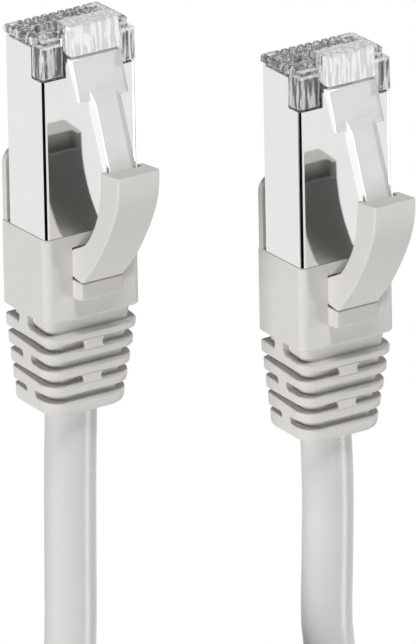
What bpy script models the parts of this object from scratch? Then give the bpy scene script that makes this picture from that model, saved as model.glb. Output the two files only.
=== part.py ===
"""Shielded ethernet patch cable: two booted plugs on one round cable.

Every plug lies on its boot with its nose towards +Y and its latch up, and the
cable runs back from both boots into one neat coil.
Each plug is modelled in its own frame in millimetres: X across, Y forward from
the face of the nose, Z up from the surface that the boot rests on.  "Depth"
means the distance behind the face of the nose, so a depth is a negative Y.
"""
import math

import bmesh
import bpy
from mathutils import Vector

MM = 0.001
FIT = 0.3                       # clearance between pieces that touch

# --- driving dimensions, in millimetres -------------------------------------
PLUG_WIDTH = 11.68
SHELL_BOTTOM = 1.1              # the shield rides on the boot's tongue
SHELL_TOP = 8.3
SHELL_FRONT = 1.2               # depths along the plug
SHELL_BACK = 21.7
SHEET = 0.3
SHELL_BEND = 0.45

WINDOW_DEPTH = 4.6              # cut-out corners on the latch side
WINDOW_FLOOR = 6.25
TAB_HALF_WIDTH = 2.9
TAB_DEPTH = 2.9
NECK_SIZE = (9.9, 4.4)          # the shield's narrow end inside the boot
NECK_END = 24.6
MIDDLE_HEIGHT = 3.7             # the neck, the gathered wires and the boot's side bridges
CONTACT_OPENING = ((-4.55, 4.55), (0, 8.4), (0.5, 1.8))

CORE_HALF_WIDTH = 5.2           # the clear body inside the shield
CORE_DEPTHS = (0.6, 20.5)
CORNER_BLOCK_INNER = 3.3
CORNER_BLOCK_FRONT = 0.85
COMB_HALF_WIDTH = 4.25
COMB_DEPTHS = (0.3, 8.1)
COMB_TOP = 3.0
SLOT_DEPTH = 7.4
SLOT_CEILING = 3.5
WIRE_CHANNEL = ((-4.1, 4.1), (1.6, 9.0), (3.85, 5.05))
BAR_CHAMBER = ((-4.9, 4.9), (8.7, 14.0), (2.7, 6.2))
REAR_CHAMBER = ((-4.85, 4.85), (13.8, 21.0), (2.0, 6.6))
FRONT_RECESS = ((-4.6, 4.6), (-0.5, 0.55), (4.0, 5.7))
BAR_DEPTHS = (9.0, 13.5)
BAR_SIZE = (9.2, 3.0)
BAR_HOLE_SIZE = (8.5, 1.3)

CONTACT_COUNT = 8
CONTACT_PITCH = 1.02
CONTACT_THICKNESS = 0.3
SLOT_WIDTH = 0.52

LATCH_HALF_WIDTH = 3.05
LATCH_ARM_HALF_WIDTH = 1.65
LATCH_HINGE_DEPTH = 1.8
LATCH_HINGE_HEIGHT = 9.0

BOOT_FRONT = 22.05
BOOT_BACK = 31.65
BOOT_TOP = 8.3
# each section is (width, bottom, top, radius of the upper corners, of the lower corners)
BLOCK_SECTION = (11.8, 0, BOOT_TOP, 0.95, 0.15)
BLOCK_BACK_SECTION = (11.5, 0, 8.15, 0.95, 0.15)
RELIEF_START_SECTION = (11.95, 0, 8.43, 1.6, 0.3)
RELIEF_BACK_SECTION = (10.0, 0.1, 7.5, 2.25, 0.75)
RELIEF_MOUTH_SECTION = (8.9, 0.2, 6.95, 1.9, 0.6)
CORE_START_SECTION = (10.2, 0.85, 7.55, 0.9, 0.3)
CORE_BACK_SECTION = (8.3, 0.85, 6.65, 1.3, 0.4)
RELIEF_END = 42.7
RELIEF_ROUNDING = 0.6
SLOT_STARTS = (31.63, 34.18, 36.2, 38.25, 40.25)
SLOT_ENDS = (33.3, 35.3, 37.3, 39.22, 41.2)
SLOT_START_LEAN = 0.3           # how far forward the slots' edges lean at the floor
SLOT_END_LEAN = 0.9
SIDE_BRIDGE_HALF = 0.75
FACE_BRIDGE_HALF = 1.0
TONGUE_FRONT = 14.2             # the flat tongue that runs on under the shield
TONGUE_CORNER = 1.6
TONGUE_FLOOR_GAP = 0.02

LEVER_HALF_WIDTH = 2.6
LEVER_HINGE_DEPTH = 26.9
LEVER_HINGE_HEIGHT = 9.7
LEVER_TIP_DEPTH = 13.15
LEVER_POCKET_HALF = 2.0
LEVER_POCKET_DEPTH = 16.6
LEVER_POCKET_FLOOR = 12.0       # below the lever, so the pocket is open underneath
LEVER_POCKET_CEILING = 15.9
LEVER_BED = ((-2.95, 2.95), (23.55, 27.05), (7.4, 9.1))
LEVER_ROOT_BACK = 30.0

CABLE_DIAMETER = 5.5
CABLE_RADIUS = CABLE_DIAMETER / 2
CABLE_HEIGHT = 3.45             # the cable's axis where it leaves a boot
JACKET_START = 26.9             # depth of the jacket's cut end inside the boot
BORE_RADIUS = CABLE_RADIUS + FIT
FERRULE_END = 30.4
FERRULE_GAP = 0.1
FERRULE_WALL = 0.15
FERRULE_BORE_RADIUS = 3.3
WIRE_RADIUS = 0.45
WIRE_HEIGHT = 4.45
WIRE_RING_RADIUS = 1.35
WIRE_DEPTHS = [2.0, 8.0, 14.5, 16.0, 17.5, 19.0, 20.5, 21.7, 22.8, 23.8, 24.8, 26.0, 26.5]
WIRE_FLAT_DEPTH = 14.5          # side by side to here
WIRE_SPREAD_DEPTH = 21.0        # at their own heights from here
WIRE_GATHERED_DEPTH = 26.2      # in a ring from here

# where each plug's frame stands in the whole object
PLUG_PLACES = {"a": Vector((-15.95, 25.655, 0)), "b": Vector((15.95, 15.325, 0))}

# the stretches of cable that aren't coiled, from each boot to the coil
# (the code adds the last points, which run square into the coil)
LEAD_A_ROUTE = [(-15.95, -17.05, 3.45), (-16.05, -24.35, 3.13), (-16.2, -34.35, 3.02),
                (-16.35, -43.35, 2.93), (-16.9, -49.3, 2.87), (-18.95, -54.7, 2.85)]
LEAD_B_ROUTE = [(15.95, -27.38, 3.45), (16.22, -34, 3.42), (16.2, -42, 3.35), (16.13, -50.5, 3.4),
                (16.75, -56.3, 4.6)]
LEAD_STEP = 1.5 * CABLE_DIAMETER

COIL_CENTRE = Vector((-4, -88.3, 0))
COIL_MEAN_RADIUS = 26.5
COIL_PITCH = 5.85               # from one turn to the next, across and up
COIL_ENTRY_ANGLE = math.radians(136.3)
COIL_EXIT_ANGLE = math.radians(32.7)
LEAD_STRAIGHT = 3.0             # how far a lead runs straight before the coil
COIL_WHOLE_TURNS = 4
COIL_POINTS_PER_TURN = 24
COIL_FLOOR_HEIGHT = 2.85
COIL_EXIT_HEIGHT = 7.1
COIL_EXIT_TURNS = 0.14          # the last part of the top turn comes down


# --- materials ---------------------------------------------------------------
def material(name, colour, roughness, metallic=0.0, transmission=0.0):
    made = bpy.data.materials.new(name)
    made.use_nodes = True
    shader = made.node_tree.nodes["Principled BSDF"]
    shader.inputs["Base Color"].default_value = (*colour, 1.0)
    shader.inputs["Roughness"].default_value = roughness
    shader.inputs["Metallic"].default_value = metallic
    shader.inputs["Transmission Weight"].default_value = transmission
    return made


def make_materials():
    wire_colours = {
        "wire_1": (0.80, 0.55, 0.35), "wire_2": (0.75, 0.25, 0.06),
        "wire_3": (0.55, 0.72, 0.55), "wire_4": (0.07, 0.14, 0.50),
        "wire_5": (0.50, 0.58, 0.80), "wire_6": (0.08, 0.38, 0.14),
        "wire_7": (0.62, 0.50, 0.42), "wire_8": (0.22, 0.11, 0.05),
    }
    made = {name: material(name, colour, 0.45) for name, colour in wire_colours.items()}
    made["clear_plastic"] = material("clear_plastic", (0.93, 0.94, 0.94), 0.08, transmission=0.9)
    made["bright_metal"] = material("bright_metal", (0.88, 0.88, 0.88), 0.12, metallic=1.0)
    made["gold_plate"] = material("gold_plate", (0.85, 0.62, 0.28), 0.22, metallic=1.0)
    made["crimp_metal"] = material("crimp_metal", (0.72, 0.72, 0.71), 0.35, metallic=1.0)
    made["milky_plastic"] = material("milky_plastic", (0.82, 0.83, 0.82), 0.3)
    made["grey_boot"] = material("grey_boot", (0.61, 0.60, 0.57), 0.55)
    made["grey_jacket"] = material("grey_jacket", (0.66, 0.655, 0.645), 0.38)
    return made


# --- modelling helpers -------------------------------------------------------
def clear_scene():
    for old in list(bpy.data.objects):
        bpy.data.objects.remove(old, do_unlink=True)


def add_object(name, mesh, surface, place):
    made = bpy.data.objects.new(name, mesh)
    made.location = place * MM
    if surface:
        made.data.materials.append(surface)
    bpy.context.scene.collection.objects.link(made)
    return made


def finish_mesh(name, shape, surface, place):
    """Turn a millimetre bmesh into a named object that stands at its place."""
    bmesh.ops.recalc_face_normals(shape, faces=shape.faces)
    bmesh.ops.scale(shape, vec=(MM, MM, MM), verts=shape.verts)
    mesh = bpy.data.meshes.new(name)
    shape.to_mesh(mesh)
    shape.free()
    return add_object(name, mesh, surface, place)


def add_box(shape, x_range, depth_range, z_range):
    """A box from ranges; the depth is counted back from the nose."""
    x_lo, x_hi = x_range
    y_lo, y_hi = -depth_range[1], -depth_range[0]
    z_lo, z_hi = z_range
    corners = bmesh.ops.create_cube(shape, size=1.0)["verts"]
    for corner in corners:
        corner.co.x = x_hi if corner.co.x > 0 else x_lo
        corner.co.y = y_hi if corner.co.y > 0 else y_lo
        corner.co.z = z_hi if corner.co.z > 0 else z_lo


def add_side_prism(shape, profile, half_width):
    """A (depth, height) outline carried across the plug."""
    face = shape.faces.new([shape.verts.new((-half_width, -depth, height)) for depth, height in profile])
    grown = bmesh.ops.extrude_face_region(shape, geom=[face])["geom"]
    moved = [item for item in grown if isinstance(item, bmesh.types.BMVert)]
    bmesh.ops.translate(shape, verts=moved, vec=(2 * half_width, 0, 0))


def add_top_prism(shape, outline, z_range):
    """An (x, depth) outline carried upwards."""
    face = shape.faces.new([shape.verts.new((x, -depth, z_range[0])) for x, depth in outline])
    grown = bmesh.ops.extrude_face_region(shape, geom=[face])["geom"]
    moved = [item for item in grown if isinstance(item, bmesh.types.BMVert)]
    bmesh.ops.translate(shape, verts=moved, vec=(0, 0, z_range[1] - z_range[0]))


def rounded_section(width, height, middle, edge, steps):
    """The (x, z) points of a rectangle with round corners."""
    points = []
    for turn, (side_x, side_z) in enumerate(((1, 1), (-1, 1), (-1, -1), (1, -1))):
        for step in range(steps + 1):
            angle = (turn + step / steps) * math.pi / 2
            points.append((side_x * (width / 2 - edge) + edge * math.cos(angle),
                           middle + side_z * (height / 2 - edge) + edge * math.sin(angle)))
    return points


def boot_section(width, bottom, top, upper_edge, lower_edge):
    """The (x, z) points of a boot outline, whose lower corners are sharper than its upper ones."""
    points = []
    for turn, (side_x, side_z) in enumerate(((1, 1), (-1, 1), (-1, -1), (1, -1))):
        edge = upper_edge if side_z > 0 else lower_edge
        height = top - edge if side_z > 0 else bottom + edge
        for step in range(5):
            angle = (turn + step / 4) * math.pi / 2
            points.append((side_x * (width / 2 - edge) + edge * math.cos(angle),
                           height + edge * math.sin(angle)))
    return points


def round_section(radius, middle, sides):
    """The (x, z) points of a circle."""
    angles = [side * 2 * math.pi / sides for side in range(sides)]
    return [(radius * math.cos(angle), middle + radius * math.sin(angle)) for angle in angles]


def add_loft(shape, rings, closed=False):
    """Join (depth, section) rings in order; a closed loft returns to its first ring."""
    loops = [[shape.verts.new((x, -depth, z)) for x, z in section] for depth, section in rings]
    pairs = list(zip(loops, loops[1:]))
    if closed:
        pairs.append((loops[-1], loops[0]))
    for near, far in pairs:
        for index in range(len(near)):
            following = (index + 1) % len(near)
            shape.faces.new((near[index], near[following], far[following], far[index]))
    if not closed:
        shape.faces.new(loops[0])
        shape.faces.new(loops[-1])


def combine(target, tool, operation):
    """Apply a hidden tool object to a piece with an exact boolean."""
    tool.display_type = "WIRE"
    tool.hide_render = True
    change = target.modifiers.new(tool.name, "BOOLEAN")
    change.operation = operation
    change.solver = "EXACT"
    change.object = tool


def tool_from(name, place, build):
    shape = bmesh.new()
    build(shape)
    return finish_mesh(name, shape, None, place)


def box_tools(target, place, operation, boxes):
    for index, (x_range, depth_range, z_range) in enumerate(boxes):
        tool = tool_from(f"{target.name}_{operation.lower()}_{index}", place,
                         lambda shape: add_box(shape, x_range, depth_range, z_range))
        combine(target, tool, operation)


def mirror_box(x_range, depth_range, z_range):
    inner, outer = x_range
    return [((inner, outer), depth_range, z_range), ((-outer, -inner), depth_range, z_range)]


def catmull_rom(route, steps):
    """A smooth curve through the route's points, as a fine list of points."""
    points = [Vector(point) for point in route]
    padded = [2 * points[0] - points[1]] + points + [2 * points[-1] - points[-2]]
    fine = []
    for before, start, end, after in zip(padded, padded[1:], padded[2:], padded[3:]):
        for step in range(steps):
            t = step / steps
            fine.append(0.5 * (2 * start + (end - before) * t
                               + (2 * before - 5 * start + 4 * end - after) * t ** 2
                               + (3 * start - before - 3 * end + after) * t ** 3))
    return fine + [points[-1]]


def spaced(fine, spacing):
    """Points a steady distance apart along a fine list, with both of its ends."""
    walked = [0.0]
    for near, far in zip(fine, fine[1:]):
        walked.append(walked[-1] + (far - near).length)
    count = max(2, round(walked[-1] / spacing))
    points = []
    index = 0
    for step in range(count):
        goal = walked[-1] * step / count
        while walked[index + 1] < goal:
            index += 1
        share = (goal - walked[index]) / (walked[index + 1] - walked[index])
        points.append(fine[index].lerp(fine[index + 1], share))
    return points + [fine[-1]]


def add_tube(name, points, radius, resolution, surface, place):
    curve = bpy.data.curves.new(name, "CURVE")
    curve.dimensions = "3D"
    curve.bevel_depth = radius * MM
    curve.bevel_resolution = resolution
    curve.use_fill_caps = True
    spline = curve.splines.new("POLY")
    spline.points.add(len(points) - 1)
    for knot, point in zip(spline.points, points):
        knot.co = (*(Vector(point) * MM), 1.0)
    return add_object(name, curve, surface, place)


# --- the pieces of one plug --------------------------------------------------
def make_housing(end, place, surfaces):
    """The clear body: core, nose, comb of contact slots, corner blocks and latch root."""
    half = PLUG_WIDTH / 2
    nose_back = SHELL_FRONT - FIT
    shape = bmesh.new()
    add_box(shape, (-CORE_HALF_WIDTH, CORE_HALF_WIDTH), CORE_DEPTHS,
            (SHELL_BOTTOM + 2 * SHEET, SHELL_TOP - 2 * SHEET))
    housing = finish_mesh(f"plug_housing_{end}", shape, surfaces["clear_plastic"], place)

    nose = ((-half, half), (0, nose_back), (SHELL_BOTTOM, WINDOW_FLOOR + 0.4))
    comb = ((-COMB_HALF_WIDTH, COMB_HALF_WIDTH), COMB_DEPTHS, (SHELL_BOTTOM, COMB_TOP))
    corners = mirror_box((CORNER_BLOCK_INNER, half), (CORNER_BLOCK_FRONT, WINDOW_DEPTH - FIT),
                         (WINDOW_FLOOR + 0.25, SHELL_TOP))
    box_tools(housing, place, "UNION", [nose, comb] + corners)

    root_profile = [(-1.4, 6.9), (-1.35, 9.47), (1.65, 9.6), (1.65, 7.4), (0.75, 7.4),
                    (0.75, 6.3), (0.3, 6.3)]
    root = tool_from(f"latch_root_{end}", place,
                     lambda shape: add_side_prism(shape, root_profile, LATCH_HALF_WIDTH))
    combine(housing, root, "UNION")

    slots = []
    for index in range(CONTACT_COUNT):
        middle = (index - (CONTACT_COUNT - 1) / 2) * CONTACT_PITCH
        slots.append(((middle - SLOT_WIDTH / 2, middle + SLOT_WIDTH / 2),
                      (-0.5, SLOT_DEPTH), (SHELL_BOTTOM - 0.5, SLOT_CEILING)))
    box_tools(housing, place, "DIFFERENCE",
              slots + [WIRE_CHANNEL, BAR_CHAMBER, REAR_CHAMBER, FRONT_RECESS])


def make_latch(end, place, surfaces):
    """The locking tab: a wide plate with shoulders, then a narrow arm to the lever."""
    hinge = Vector((0, -LATCH_HINGE_DEPTH, LATCH_HINGE_HEIGHT))
    wide = [(1.95, 8.5), (1.95, 9.62), (2.3, 9.68), (6.55, 11.28), (6.95, 11.4), (7.05, 10.85),
            (6.6, 10.6), (2.5, 8.55)]
    arm = [(6.2, 10.45), (6.2, 11.1), (6.6, 11.75), (7.3, 12.08), (13.4, 14.3), (14.3, 14.5),
           (14.7, 14.15), (14.6, 13.4), (13.8, 12.95), (8.2, 10.7), (7.1, 10.5)]
    shape = bmesh.new()
    add_side_prism(shape, wide, LATCH_HALF_WIDTH)
    bmesh.ops.translate(shape, verts=shape.verts, vec=-hinge)
    latch = finish_mesh(f"latch_{end}", shape, surfaces["clear_plastic"], place + hinge)
    narrow = tool_from(f"latch_arm_{end}", place,
                       lambda shape: add_side_prism(shape, arm, LATCH_ARM_HALF_WIDTH))
    combine(latch, narrow, "UNION")


def make_shell(end, place, surfaces):
    """The bent shield: a thin box, its narrow neck into the boot, and its cut-outs."""
    height = SHELL_TOP - SHELL_BOTTOM
    middle = (SHELL_TOP + SHELL_BOTTOM) / 2

    def ring(size, inset):
        edge = SHELL_BEND if inset == 0 else SHELL_BEND - SHEET / 2
        return rounded_section(size[0] - 2 * inset, size[1] - 2 * inset, size[2], edge, 3)

    body_size = (PLUG_WIDTH, height, middle)
    neck_size = (*NECK_SIZE, MIDDLE_HEIGHT)
    outside = [(SHELL_FRONT, ring(body_size, 0)), (SHELL_BACK, ring(body_size, 0)),
               (SHELL_BACK, ring(neck_size, 0)), (NECK_END, ring(neck_size, 0))]
    inside = [(NECK_END, ring(neck_size, SHEET)), (SHELL_BACK - SHEET, ring(neck_size, SHEET)),
              (SHELL_BACK - SHEET, ring(body_size, SHEET)), (SHELL_FRONT, ring(body_size, SHEET))]
    shape = bmesh.new()
    add_loft(shape, outside + inside, closed=True)
    shell = finish_mesh(f"shield_shell_{end}", shape, surfaces["bright_metal"], place)

    beyond = PLUG_WIDTH
    outline = [(-beyond, 0), (beyond, 0), (beyond, WINDOW_DEPTH), (TAB_HALF_WIDTH, WINDOW_DEPTH),
               (TAB_HALF_WIDTH, TAB_DEPTH), (-TAB_HALF_WIDTH, TAB_DEPTH),
               (-TAB_HALF_WIDTH, WINDOW_DEPTH), (-beyond, WINDOW_DEPTH)]
    windows = tool_from(f"corner_windows_{end}", place,
                        lambda shape: add_top_prism(shape, outline, (WINDOW_FLOOR, SHELL_TOP + 1)))
    combine(shell, windows, "DIFFERENCE")
    box_tools(shell, place, "DIFFERENCE", [CONTACT_OPENING])


def make_contacts(end, place, surfaces):
    """Eight plated blades, each in its own slot of the comb."""
    profile = [(0.8, 1.85), (1.1, 1.55), (6.6, 1.55), (7.0, 1.9), (7.0, 3.3), (5.4, 3.3),
               (5.0, 2.8), (4.0, 2.8), (3.6, 3.3), (2.6, 3.3), (1.6, 2.6), (0.8, 2.4)]
    for index in range(CONTACT_COUNT):
        middle = (index - (CONTACT_COUNT - 1) / 2) * CONTACT_PITCH
        shape = bmesh.new()
        add_side_prism(shape, profile, CONTACT_THICKNESS / 2)
        finish_mesh(f"contact_{end}{index + 1}", shape, surfaces["gold_plate"],
                    place + Vector((middle, 0, 0)))


def make_load_bar(end, place, surfaces):
    """The insert that holds the conductors side by side."""
    outer = rounded_section(*BAR_SIZE, WIRE_HEIGHT, 0.3, 2)
    inner = rounded_section(*BAR_HOLE_SIZE, WIRE_HEIGHT, 0.2, 2)
    front, back = BAR_DEPTHS
    shape = bmesh.new()
    add_loft(shape, [(front, outer), (back, outer), (back, inner), (front, inner)], closed=True)
    finish_mesh(f"load_bar_{end}", shape, surfaces["milky_plastic"], place)


def smooth_step(value, start, end):
    share = min(1.0, max(0.0, (value - start) / (end - start)))
    return share * share * (3 - 2 * share)


def make_wires(end, place, surfaces):
    """Eight conductors: side by side at the nose, gathered into a ring at the jacket."""
    for index in range(CONTACT_COUNT):
        start_x = (index - (CONTACT_COUNT - 1) / 2) * CONTACT_PITCH
        # columns of two wires, one below and one above the middle
        column = index // 2
        side = 1 if index % 2 else -1
        angle = math.radians((157.5, 112.5, 67.5, 22.5)[column])
        end_x = WIRE_RING_RADIUS * math.cos(angle)
        end_z = MIDDLE_HEIGHT + side * WIRE_RING_RADIUS * math.sin(angle)
        route = []
        for depth in WIRE_DEPTHS:
            rise = smooth_step(depth, WIRE_FLAT_DEPTH, WIRE_SPREAD_DEPTH)
            gather = smooth_step(depth, WIRE_SPREAD_DEPTH, WIRE_GATHERED_DEPTH)
            route.append((start_x + (end_x - start_x) * gather, -depth,
                          WIRE_HEIGHT + (end_z - WIRE_HEIGHT) * rise))
        add_tube(f"wire_{end}{index + 1}", route, WIRE_RADIUS, 1, surfaces[f"wire_{index + 1}"], place)


def make_ferrule(end, place, surfaces):
    """The crimp barrel round the end of the cable's jacket."""
    inner = CABLE_RADIUS + FERRULE_GAP
    outer = inner + FERRULE_WALL
    start = JACKET_START + 0.5
    profile = [(start, outer + 0.1), (start + 0.5, outer), (FERRULE_END, outer),
               (FERRULE_END, inner), (start, inner)]
    shape = bmesh.new()
    loop = [shape.verts.new((radius, -depth, 0)) for depth, radius in profile]
    edges = [shape.edges.new((near, far)) for near, far in zip(loop, loop[1:] + loop[:1])]
    bmesh.ops.spin(shape, geom=loop + edges, cent=(0, 0, 0), axis=(0, 1, 0), angle=2 * math.pi,
                   steps=24, use_merge=True)
    finish_mesh(f"crimp_ferrule_{end}", shape, surfaces["crimp_metal"],
                place + Vector((0, 0, CABLE_HEIGHT)))


def make_cable_end(end, place, surfaces):
    """The stretch of jacket that the boot holds."""
    route = [(0, -JACKET_START, CABLE_HEIGHT), (0, -(RELIEF_END - FIT), CABLE_HEIGHT)]
    add_tube(f"cable_end_{end}", route, CABLE_RADIUS, 4, surfaces["grey_jacket"], place)


def slot_outline(start, stop, low, high):
    """A slot seen from the side, with edges that lean forward towards the floor."""
    def edges_at(height):
        share = 1 - height / BOOT_TOP
        return (start - SLOT_START_LEAN * share, height), (stop - SLOT_END_LEAN * share, height)

    (start_low, stop_low), (start_high, stop_high) = edges_at(low), edges_at(high)
    return [start_low, stop_low, stop_high, start_high]


def make_boot(end, place, surfaces):
    """Boot block with its tongue and lever root, and the slotted relief behind it."""
    rings = [(BOOT_FRONT, BLOCK_SECTION), (BOOT_BACK - 0.25, BLOCK_SECTION),
             (BOOT_BACK, BLOCK_BACK_SECTION), (BOOT_BACK + 0.12, RELIEF_START_SECTION),
             (RELIEF_END - RELIEF_ROUNDING, RELIEF_BACK_SECTION), (RELIEF_END, RELIEF_MOUTH_SECTION)]
    shape = bmesh.new()
    add_loft(shape, [(depth, boot_section(*section)) for depth, section in rings])
    boot = finish_mesh(f"strain_boot_{end}", shape, surfaces["grey_boot"], place)

    half = BLOCK_SECTION[0] / 2 - 0.15
    arc_angles = [step * math.pi / 8 for step in range(5)]
    arc = [(half - TONGUE_CORNER * (1 - math.cos(angle)),
            TONGUE_FRONT + TONGUE_CORNER * (1 - math.sin(angle))) for angle in arc_angles]
    outline = [(half, BOOT_FRONT + 0.8)] + arc + [(-x, depth) for x, depth in reversed(arc)]
    outline.append((-half, BOOT_FRONT + 0.8))
    heights = (TONGUE_FLOOR_GAP, SHELL_BOTTOM - FIT)
    tongue = tool_from(f"tongue_{end}", place, lambda shape: add_top_prism(shape, outline, heights))
    combine(boot, tongue, "UNION")

    root_front = LEVER_HINGE_DEPTH + FIT / 2
    root_profile = [(root_front, 8.0), (root_front, 10.35), (LEVER_ROOT_BACK - 0.2, 10.05),
                    (LEVER_ROOT_BACK, 8.0)]
    root = tool_from(f"lever_root_{end}", place,
                     lambda shape: add_side_prism(shape, root_profile, LEVER_HALF_WIDTH))
    combine(boot, root, "UNION")

    chamber = ((-5.3, 5.3), (BOOT_FRONT - 1, JACKET_START + 0.3), (SHELL_BOTTOM + 0.2, 7.0))
    box_tools(boot, place, "DIFFERENCE", [chamber, LEVER_BED])
    below, above = -1, BOOT_TOP + 1
    aside = BLOCK_SECTION[0]
    for index, (start, stop) in enumerate(zip(SLOT_STARTS, SLOT_ENDS)):
        if index % 2 == 0:
            parts = [(-aside, aside, MIDDLE_HEIGHT + SIDE_BRIDGE_HALF, above),
                     (-aside, aside, below, MIDDLE_HEIGHT - SIDE_BRIDGE_HALF)]
        else:
            parts = [(-aside, -FACE_BRIDGE_HALF, below, above), (FACE_BRIDGE_HALF, aside, below, above)]
        for number, (left, right, low, high) in enumerate(parts):
            outline = slot_outline(start, stop, low, high)
            middle = Vector(((left + right) / 2, 0, 0))
            slot = tool_from(f"slot_{end}{index + 1}_{number}", place + middle,
                             lambda shape: add_side_prism(shape, outline, (right - left) / 2))
            combine(boot, slot, "DIFFERENCE")

    core_rings = [(BOOT_BACK - 0.5, boot_section(*CORE_START_SECTION)),
                  (RELIEF_END - 0.2, boot_section(*CORE_BACK_SECTION))]
    core = tool_from(f"relief_core_{end}", place, lambda shape: add_loft(shape, core_rings))
    combine(boot, core, "UNION")

    bore_circle = round_section(BORE_RADIUS, CABLE_HEIGHT, 20)
    ferrule_circle = round_section(FERRULE_BORE_RADIUS, CABLE_HEIGHT, 20)
    step_depth = FERRULE_END + 0.4
    rings = [(JACKET_START, ferrule_circle), (step_depth, ferrule_circle),
             (step_depth, bore_circle), (RELIEF_END + 1, bore_circle)]
    bore = tool_from(f"cable_bore_{end}", place, lambda shape: add_loft(shape, rings))
    combine(boot, bore, "DIFFERENCE")


def make_lever(end, place, surfaces):
    """The curved lever over the latch, with the pocket that holds the latch's tip."""
    hinge = Vector((0, -LEVER_HINGE_DEPTH, LEVER_HINGE_HEIGHT))
    outer = catmull_rom([(13.4, 17.45), (15.75, 17.22), (18.7, 16.12), (21.5, 14.52), (24.2, 12.68),
                         (26.3, 10.9)], 3)
    back = LEVER_HINGE_DEPTH - FIT / 2
    heel = [Vector(point) for point in ((back, 10.45), (back, 9.7), (26.4, 8.2), (23.95, 8.2), (23.75, 8.5))]
    inner = catmull_rom([(23.45, 9.3), (22.1, 10.98), (19.8, 12.68), (17.2, 13.8), (14.9, 14.28),
                         (LEVER_TIP_DEPTH + 0.15, 14.4)], 2)
    tip = [Vector((LEVER_TIP_DEPTH, 17.25))]
    shape = bmesh.new()
    add_side_prism(shape, tip + outer + heel + inner, LEVER_HALF_WIDTH)
    bmesh.ops.translate(shape, verts=shape.verts, vec=-hinge)
    lever = finish_mesh(f"boot_lever_{end}", shape, surfaces["grey_boot"], place + hinge)
    box_tools(lever, place, "DIFFERENCE",
              [((-LEVER_POCKET_HALF, LEVER_POCKET_HALF), (LEVER_TIP_DEPTH - 1, LEVER_POCKET_DEPTH),
                (LEVER_POCKET_FLOOR, LEVER_POCKET_CEILING))])


def make_plug(end, place, surfaces):
    for build in (make_housing, make_latch, make_shell, make_contacts, make_load_bar, make_wires,
                  make_ferrule, make_cable_end, make_boot, make_lever):
        build(end, place, surfaces)


# --- the cable between the plugs ---------------------------------------------
def coil_route():
    """Turns that spiral in on the floor, climb a layer and spiral out again on top."""
    turns = COIL_WHOLE_TURNS + 1 - (COIL_ENTRY_ANGLE - COIL_EXIT_ANGLE) / (2 * math.pi)
    middle_turn = turns / 2
    outer_radius = COIL_MEAN_RADIUS + COIL_PITCH * middle_turn / 2
    top = COIL_FLOOR_HEIGHT + COIL_PITCH
    count = round(turns * COIL_POINTS_PER_TURN)
    points = []
    for step in range(count + 1):
        turn = turns * step / count
        radius = outer_radius - COIL_PITCH * min(turn, turns - turn)
        angle = COIL_ENTRY_ANGLE + 2 * math.pi * turn
        height = COIL_FLOOR_HEIGHT + COIL_PITCH * smooth_step(turn, middle_turn - 0.25, middle_turn + 0.25)
        height -= (top - COIL_EXIT_HEIGHT) * smooth_step(turn, turns - COIL_EXIT_TURNS, turns)
        points.append(COIL_CENTRE + Vector((radius * math.cos(angle), radius * math.sin(angle), height)))
    # both ends run straight for one diameter
    outwards = coil_end_directions()
    return [points[0] + outwards[0] * CABLE_DIAMETER] + points + [points[-1] + outwards[1] * CABLE_DIAMETER]


def coil_end_directions():
    """The ways that the cable leaves the coil's two ends, square to the coil's radius there."""
    entry = Vector((math.sin(COIL_ENTRY_ANGLE), -math.cos(COIL_ENTRY_ANGLE), 0))
    leave = Vector((-math.sin(COIL_EXIT_ANGLE), math.cos(COIL_EXIT_ANGLE), 0))
    return entry, leave


def lead_route(hand_points, coil_end, outwards):
    """From a boot to the coil's end, met square and with a small clearance."""
    square = coil_end + outwards * (FIT + LEAD_STRAIGHT)
    points = spaced(catmull_rom(hand_points + [square], 12), LEAD_STEP)
    return points + [coil_end + outwards * FIT]


def least_self_gap(points):
    """The least clear distance between turns, measured between the route's points."""
    apart = COIL_POINTS_PER_TURN // 2
    least = min((points[far] - points[near]).length
                for near in range(len(points)) for far in range(near + apart, len(points)))
    return least - CABLE_DIAMETER


def route_length(points):
    return sum((far - near).length for near, far in zip(points, points[1:]))


def make_cable(surfaces):
    coil = coil_route()
    outwards = coil_end_directions()
    lead_a = lead_route(LEAD_A_ROUTE, coil[0], outwards[0])
    lead_b = lead_route(LEAD_B_ROUTE, coil[-1], outwards[1])
    add_tube("cable_lead_a", lead_a, CABLE_RADIUS, 2, surfaces["grey_jacket"], Vector((0, 0, 0)))
    add_tube("cable_lead_b", lead_b, CABLE_RADIUS, 2, surfaces["grey_jacket"], Vector((0, 0, 0)))
    add_tube("cable_coil", coil, CABLE_RADIUS, 1, surfaces["grey_jacket"], Vector((0, 0, 0)))
    whole = route_length(lead_a) + route_length(coil) + route_length(lead_b)
    print(f"coil: least gap between turns {least_self_gap(coil):.2f} mm")
    print(f"cable: {whole:.0f} mm from boot to boot")


def main():
    clear_scene()
    surfaces = make_materials()
    for end, place in PLUG_PLACES.items():
        make_plug(end, place, surfaces)
    make_cable(surfaces)
    bpy.context.view_layer.update()


main()
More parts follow.
